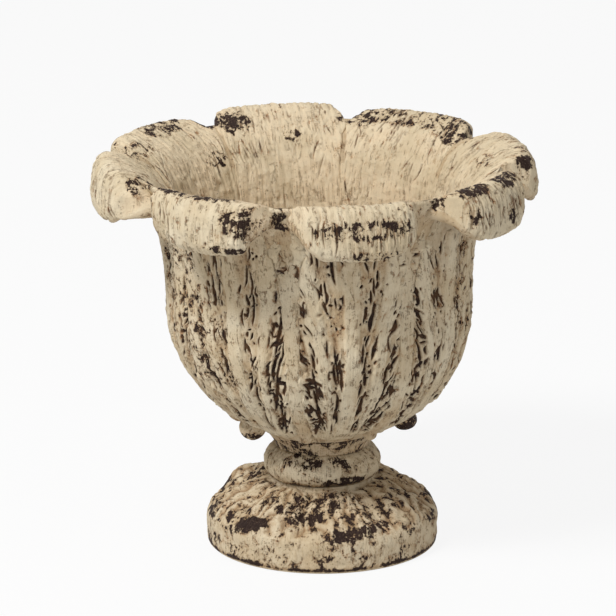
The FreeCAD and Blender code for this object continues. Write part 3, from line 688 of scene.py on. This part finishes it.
def spear(number):
    """A narrow spear leaf: a round ball under the bowl, a thin stem and a smooth wedge, wider at the top."""
    angle = FRONT + SECTOR * (number - 0.5)
    seed = 1000 + 100 * number
    knots = []
    # On the wall: way up, half width and relief
    stations = [(68, 4.6, 2.8), (78, 4.8, 3.2), (95, 5.0, 4.4), (125, 5.2, 5.9), (150, 5.4, 5.6)]
    stations += [(175, 6.4, 4.8), (200, 9.0, 3.8), (218, 12.0, 3.2)]
    for along, half_width, lift in stations:
        inner, outer = wall_point(along, -2.5), wall_point(along, lift)
        knots.append([*inner, *outer, *inner, half_width, *wall_point(along, lift - 1.8), half_width, 2.6])
    knots += [
        [106.0, 246.0, 114.0, 242.0, 106.6, 246.0, 13.5, 112.6, 242.0, 13.5, 2.8],
        [109.0, 256.0, 119.0, 252.0, 110.0, 256.0, 15.0, 117.6, 252.0, 15.0, 2.8],
        [114.0, 261.0, 123.6, 260.0, 114.6, 261.0, 16.0, 122.4, 260.0, 16.0, 2.8],
        [120.0, 266.4, 127.4, 266.6, 120.4, 266.4, 16.5, 126.8, 266.4, 16.5, 2.8],
        [125.4, 270.4, 129.2, 270.6, 125.6, 270.4, 15.0, 128.4, 270.4, 15.0, 2.6],
        [127.6, 272.0, 128.4, 272.0, 127.6, 272.0, 12.0, 128.0, 272.0, 12.0, 2.4],
    ]
    # The ball at the lower end, as sections that swell and close
    ball_radius, ball_height = wall_point(BALL_WAY, 0.5)
    ball = []
    size = WORN_BALL_SIZE if number in WORN_BALLS else BALL_SIZE
    for turn in np.linspace(-88, 40, 12):
        swell = size * math.cos(math.radians(turn))
        down = size * math.sin(math.radians(turn))
        lean = BALL_WAY / BALL_RADIUS
        radius = float(ball_radius) + down * math.cos(lean)
        height = float(ball_height) + down * math.sin(lean)
        inner = (radius + swell * math.sin(lean), height - swell * math.cos(lean))
        outer = (radius - swell * math.sin(lean), height + swell * math.cos(lean))
        middle = (radius, height)
        ball.append([*outer, *inner, *middle, swell, *middle, swell, 2.0])
    rows = smooth_path(ball + knots, SPEAR_ROW, 4).T
    inner = face_across(rows[0:2], rows[4:6], rows[6], rows[10], SPEAR_ACROSS_INNER)[:, ::-1]
    outer = face_across(rows[2:4], rows[7:9], rows[9], rows[10], SPEAR_ACROSS_OUTER)
    grid = np.concatenate([inner, outer], axis=1)
    placed = turned_about(grid, angle)
    z = grid[..., 2]
    lumps = rough(placed, 9, 6) * 0.5 + rough(placed, 3, 7) * 0.25
    ends = np.minimum(np.arange(grid.shape[0]), np.arange(grid.shape[0])[::-1])[:, None]
    carved = placed + turned_about(outward(grid, False), angle) * (lumps * step(0, 5, ends))[..., None]
    worn = patchy(placed, 12, seed, 0.0, 0.5)
    bare = 0.24 + worn * (0.1 * step(252, 264, z) + 0.16 * (1 - step(84, 100, z))) + rubbed(placed)
    # Painted shade under the lips, from about 225 to 258 mm up; lighter at the top, and darker towards the
    # bottom
    grime_and_shade = 0.3 + 0.25 * step(225, 245, z) - 0.3 * step(258, 268, z) + 0.2 * (1 - step(100, 130, z))
    along = np.arange(grid.shape[0])[:, None] * SPEAR_ROW + 0 * z
    flow = np.stack([grid[..., 1], 0 * z + 900 + 60 * number, along], axis=-1) * MM
    fields = {"bare": bare, "grime_and_shade": grime_and_shade, "inside": np.zeros_like(z), "flow": flow}
    lay_mesh(f"spear_leaf_{number}", carved, False, PAINT, fields, [f"spear_{number}"])


for number in range(1, LEAVES + 1):
    spear(number)


# Turned pieces


def turned_grid(contour, spacing, around):
    """A closed contour of radii and heights, turned about the axis."""
    contour = np.array(contour + contour[:1], float)
    gaps = np.linalg.norm(np.diff(contour, axis=0), axis=1)
    along = np.concatenate([[0.0], np.cumsum(gaps)])
    place = np.linspace(0, along[-1], int(along[-1] / spacing), endpoint=False)
    radius, height = [np.interp(place, along, contour[:, i]) for i in (0, 1)]
    turn = np.linspace(0, 2 * math.pi, around, endpoint=False)
    grid = np.stack(np.broadcast_arrays(
        radius[:, None] * np.cos(turn), radius[:, None] * np.sin(turn), height[:, None]
    ), axis=-1)
    flow = np.stack(np.broadcast_arrays(60 * np.cos(turn), 60 * np.sin(turn), place[:, None]), axis=-1) * MM
    return grid, turn[None, :] + np.zeros_like(grid[..., 0]), flow


def arc(count, start, end, point):
    """Points given by a function of a share from start to end."""
    return [tuple(float(v) for v in point(share)) for share in np.linspace(start, end, count)]


def bowl():
    """The bowl: a smooth wall with soft flutes inside and a rounded rim between the leaves."""
    quarter = BALL_RADIUS * math.pi / 2
    start = BALL_RADIUS * math.asin(40.0 / BALL_RADIUS)
    rim_way = quarter + FLARE_RADIUS * math.asin((RIM - BALL_MIDDLE) / FLARE_RADIUS)
    floor_way = BALL_RADIUS * math.acos((BALL_MIDDLE - BOWL_FLOOR) / (BALL_RADIUS - WALL))
    contour = [(5.5, SEAT - 4), (20.0, SEAT - 4), (20.0, SEAT), (40.0, SEAT)]
    # The outside lies a little inside the solid's, because leaves and spears cover most of it
    inset = -2.2
    contour += arc(90, start, rim_way - 27, lambda way: wall_point(way, inset * step(start, start + 12, way)))
    contour += [(112.4, 253.0), (116.0, 259.4), (120.2, 264.2), (124.0, 267.6), (128.6, 270.6)]
    contour += [(129.0, 271.6), (127.5, 271.9), (123.0, 269.4), (116.6, 264.8), (111.2, 259.0)]
    contour += [(107.2, 253.2), (103.8, 247.2), (101.4, 241.4)]
    contour += arc(90, rim_way - 36, floor_way, lambda way: wall_point(way, -WALL))
    contour += [(20.0, BOWL_FLOOR), (5.5, BOWL_FLOOR)]
    grid, turn, flow = turned_grid(contour, 2.0, 360)
    normal = outward(grid, True)
    z = grid[..., 2]
    is_inside = step(100, 112, z) * (np.sum(normal * grid, axis=-1) < 0)
    flutes = rough(np.stack([turn * 100, 0 * turn, z], -1), (11, 1, 90), 41) * 0.7
    lumps = rough(grid, 20, 5) * 0.7 + rough(grid, 6, 6) * 0.4 + rough(grid, 2.4, 7) * 0.25
    free = step(84, 100, z)
    carved = grid + normal * ((flutes * is_inside + lumps) * free)[..., None]
    worn = patchy(grid, 18, 43, 0.1, 0.5)
    bare = 0.18 + worn * (0.1 * step(262, 268, z) + 0.06 * is_inside * step(225, 262, z)) + rubbed(grid)
    # Inside, darker towards the bottom of the bowl; outside, where leaves and spears cover the wall, one
    # darker tone
    grime_and_shade = np.where(is_inside > 0.5, 0.05 + 0.3 * (1 - step(120, 200, z)), 0.5)
    fields = {"bare": bare, "grime_and_shade": grime_and_shade, "inside": is_inside, "flow": flow}
    lay_mesh("urn_bowl", carved, True, PAINT, fields, ["bowl"])


bowl()


def collar():
    """The collar below the bowl, with scratches round it."""
    contour = [(13.0, 66.0), (20.0, 66.0), (20.0, 70.0), (33.0, 70.0)]
    contour += arc(12, 0, 1, lambda t: (33 + 7 * t**1.6, 70 + 12 * t))
    contour += [(20.2, 82.0), (20.2, 77.8), (13.0, 77.8)]
    grid, _, flow = turned_grid(contour, 0.8, 360)
    normal = outward(grid, True)
    radius = np.hypot(grid[..., 0], grid[..., 1])
    shown = step(28, 33, radius)
    lumps = rough(grid, 9, 6) * 0.7 + rough(grid, (8, 8, 2), 7) * 0.4
    carved = grid + normal * (lumps * shown)[..., None]
    bare = 0.38 + patchy(grid, (13, 13, 6), 51, -0.1, 0.4) * 0.12 + rubbed(grid)
    fields = {"bare": bare, "grime_and_shade": 0.55 + 0 * radius, "inside": 0 * radius, "flow": flow}
    lay_mesh("neck_collar", carved, True, PAINT, fields, ["collar"])


collar()


def knop():
    """The round knop, worn bare in patches and dark in the groove below it."""
    contour = [(13.0, 44.0), (20.0, 44.0), (20.0, 48.0), (36.0, 48.0)]
    contour += arc(26, 0, 1, lambda t: (36 - 3 * t + 6.6 * math.sin(math.pi * t) ** 0.7, 48 + 22 * t))
    contour += [(20.2, 70.0), (20.2, 65.8), (13.0, 65.8)]
    grid, _, flow = turned_grid(contour, 0.8, 420)
    normal = outward(grid, True)
    z = grid[..., 2]
    radius = np.hypot(grid[..., 0], grid[..., 1])
    shown = step(30, 35, radius)
    lumps = rough(grid, 12, 6) * 1.6 + rough(grid, 4, 7) * 0.8
    carved = grid + normal * (lumps * shown)[..., None]
    worn = patchy(grid, (11, 11, 9), 61, -0.1, 0.35)
    bare = 0.3 + worn * (0.04 + 0.09 * step(56, 66, z) + 0.16 * (1 - step(48, 53, z))) + rubbed(grid)
    grime_and_shade = 0.26 + 0.5 * (1 - step(48, 53, z))
    fields = {"bare": bare, "grime_and_shade": grime_and_shade, "inside": 0 * z, "flow": flow}
    lay_mesh("round_knop", carved, True, PAINT, fields, ["knop"])


knop()


def foot():
    """The foot: a plain band below a slope of eight lapping leaf tips."""
    contour = [(72.5, 0.0), (79.0, 0.0), (80.2, 1.2), (80.6, 4.0), (80.6, 19.0), (80.0, 22.5), (78.4, 25.0)]
    contour += arc(40, 0, 1, lambda t: (
        76.5 + (36.0 - 76.5) * t, 26.2 + 18.8 * t + 1.0 * math.sin(math.pi * t)
    ))
    contour += [(35.6, 46.0), (36.0, 48.0), (20.2, 48.0), (20.2, 43.8), (13.0, 43.8), (13.0, 38.0)]
    contour += [(28.0, 38.0)]
    contour += arc(20, 0, 1, lambda t: (28 + 44.5 * t, 38 - 21 * t - 5.5 * math.sin(math.pi * t)))
    grid, turn, flow = turned_grid(contour, 1.15, 500)
    normal = outward(grid, True)
    x, y, z = np.moveaxis(grid, -1, 0)
    radius = np.hypot(x, y)
    top = (normal[..., 2] > 0.25) * step(36, 40, radius) * (1 - step(76, 80, radius)) * (z > 24)
    outside = np.maximum(top, (normal[..., 2] > -0.2) * step(76, 79, radius))
    sector = (turn - FRONT) / SECTOR + rough(grid, 14, 71) * 0.08
    across = np.abs(sector - np.round(sector)) * 2
    chance = lattice(np.stack([np.round(sector) % LEAVES, 0 * x, 0 * x], -1).astype(np.int64), 79)
    down_slope = np.sin(np.pi * np.clip((radius - 32) / 47, 0, 1)) ** 0.7
    swell = (1 - across**1.6) * down_slope * (6.0 + 1.5 * chance)
    # The tip at the back left is curled up
    curled = turned_about(np.array([0.0, -64.0, 0.0]), math.radians(-123.0) + VIEW_ANGLE)
    swell += 3.0 * np.exp(-(((x - curled[0]) ** 2 + (y - curled[1]) ** 2) / 9.0**2) ** 2)
    veins = ridge(sector * 5 + rough(grid, 16, 72) * 1.3, 0.8)
    vein_depth = 1.0 + 1.6 * patchy(grid, 15, 77, -0.4, 0.4)
    lumps = rough(grid, 17, 5) * 2.2 + rough(grid, 6, 6) * 1.5 + rough(grid, 2.4, 7) * 0.5
    height = top * (swell + vein_depth * (veins - 0.7))
    height += lumps * outside * step(0.5, 4, z) * (0.5 + 0.5 * top)
    carved = grid + normal * height[..., None]
    carved[..., 2] = np.maximum(carved[..., 2], 0.0)
    worn = patchy(grid, 15, 74, -0.2, 0.35)
    band_edge = outside * step(21, 24, z) * (1 - step(27, 30, z))
    floor_line = outside * (1 - step(1.5, 5.5, z))
    bare = 0.3 + top * (0.06 + 0.12 * (1 - veins) + 0.08 * worn) + band_edge * worn * 0.18
    bare += floor_line * (0.12 + patchy(grid, (9, 9, 30), 75, -0.5, 0.1) * 0.24) + rubbed(grid)
    bare += outside * (1 - top) * patchy(grid, (14, 14, 8), 78, -0.2, 0.35) * 0.16
    grime_and_shade = 0.38 + top * 0.5 * (1 - veins) + floor_line * 0.4
    fields = {"bare": bare, "grime_and_shade": grime_and_shade, "inside": 0 * z, "flow": flow}
    lay_mesh("leafy_foot", carved, True, PAINT, fields, ["foot"])


foot()

# The fastenings keep their solids and get their finishes
STEEL_NODES = ("leaf_screws", "spear_screws", "tie_rod", "top_washer", "top_nut", "clamp_plate", "foot_nut")
FASTENINGS = dict.fromkeys(STEEL_NODES, zinc_steel()) | {"seal_washer": seal_rubber()}
for node, material in FASTENINGS.items():
    fastening = bpy.data.objects[node]
    fastening.data.materials.clear()
    fastening.data.materials.append(material)


# The studio

WHITE = (1.0, 1.0, 1.0, 1.0)
GREY_PAPER = (0.75, 0.75, 0.75, 1.0)
GLOW_SHARE = 0.88
AMBIENT = 0.33
LAMP_AIM = Vector((0, 0, 0.15))


def studio_floor():
    """A wide white floor that keeps a soft shadow."""
    half = 6.0
    corners = [(-half, -half, 0), (half, -half, 0), (half, half, 0), (-half, half, 0)]
    mesh = bpy.data.meshes.new("studio_floor")
    mesh.from_pydata(corners, [], [(0, 1, 2, 3)])
    white = Finish(bpy.data.materials.new("studio_white"))
    paper = white.node("ShaderNodeBsdfDiffuse", {}, {"Color": GREY_PAPER})
    glow = white.node("ShaderNodeEmission", {}, {"Color": WHITE, "Strength": 1.0})
    both = white.node("ShaderNodeMixShader", {}, {0: white.in_view() * GLOW_SHARE, 1: paper, 2: glow})
    white.node("ShaderNodeOutputMaterial", {}, {"Surface": both})
    mesh.materials.append(white.holder)
    floor = bpy.data.objects.new("studio_floor", mesh)
    bpy.context.collection.objects.link(floor)


def studio_world():
    """Even light from all sides, and plain white behind the urn."""
    world = bpy.data.worlds.new("studio")
    bpy.context.scene.world = world
    sky = Finish(world)
    ambient = sky.node("ShaderNodeBackground", {}, {"Color": WHITE, "Strength": AMBIENT})
    white = sky.node("ShaderNodeBackground", {}, {"Color": WHITE, "Strength": 1.0})
    both = sky.node("ShaderNodeMixShader", {}, {0: sky.in_view(), 1: ambient, 2: white})
    sky.node("ShaderNodeOutputWorld", {}, {"Surface": both})


def lamp(name, place, size, power):
    """A soft square lamp that looks at the urn's middle."""
    light = bpy.data.lights.new(name, "AREA")
    light.size = size
    light.energy = power
    holder = bpy.data.objects.new(name, light)
    bpy.context.collection.objects.link(holder)
    holder.location = place
    holder.rotation_euler = (LAMP_AIM - Vector(place)).to_track_quat("-Z", "Y").to_euler()


def viewer():
    """The camera, at the photograph's angle and distance."""
    away, height, aim_height, aim_left = 3.0, 1.0268, 0.1675, 0.01
    right = Vector(VIEWER_RIGHT)
    towards = Vector((math.sin(VIEW_ANGLE), -math.cos(VIEW_ANGLE), 0))
    camera = bpy.data.cameras.new("viewer")
    camera.lens = 262.9
    camera.sensor_width = 36.0
    holder = bpy.data.objects.new("viewer", camera)
    bpy.context.collection.objects.link(holder)
    holder.location = towards * away - right * aim_left + Vector((0, 0, height))
    aim = Vector((0, 0, aim_height)) - right * aim_left
    holder.rotation_euler = (aim - holder.location).to_track_quat("-Z", "Y").to_euler()
    bpy.context.scene.camera = holder


studio_floor()
studio_world()
lamp("key", (-1.7, -1.1, 2.6), size=0.8, power=82.0)
lamp("fill", (2.0, -1.6, 1.4), size=1.8, power=9.0)
lamp("back", (0.4, 2.0, 2.4), size=1.6, power=10.0)
viewer()
bpy.context.scene.view_settings.view_transform = "Standard"
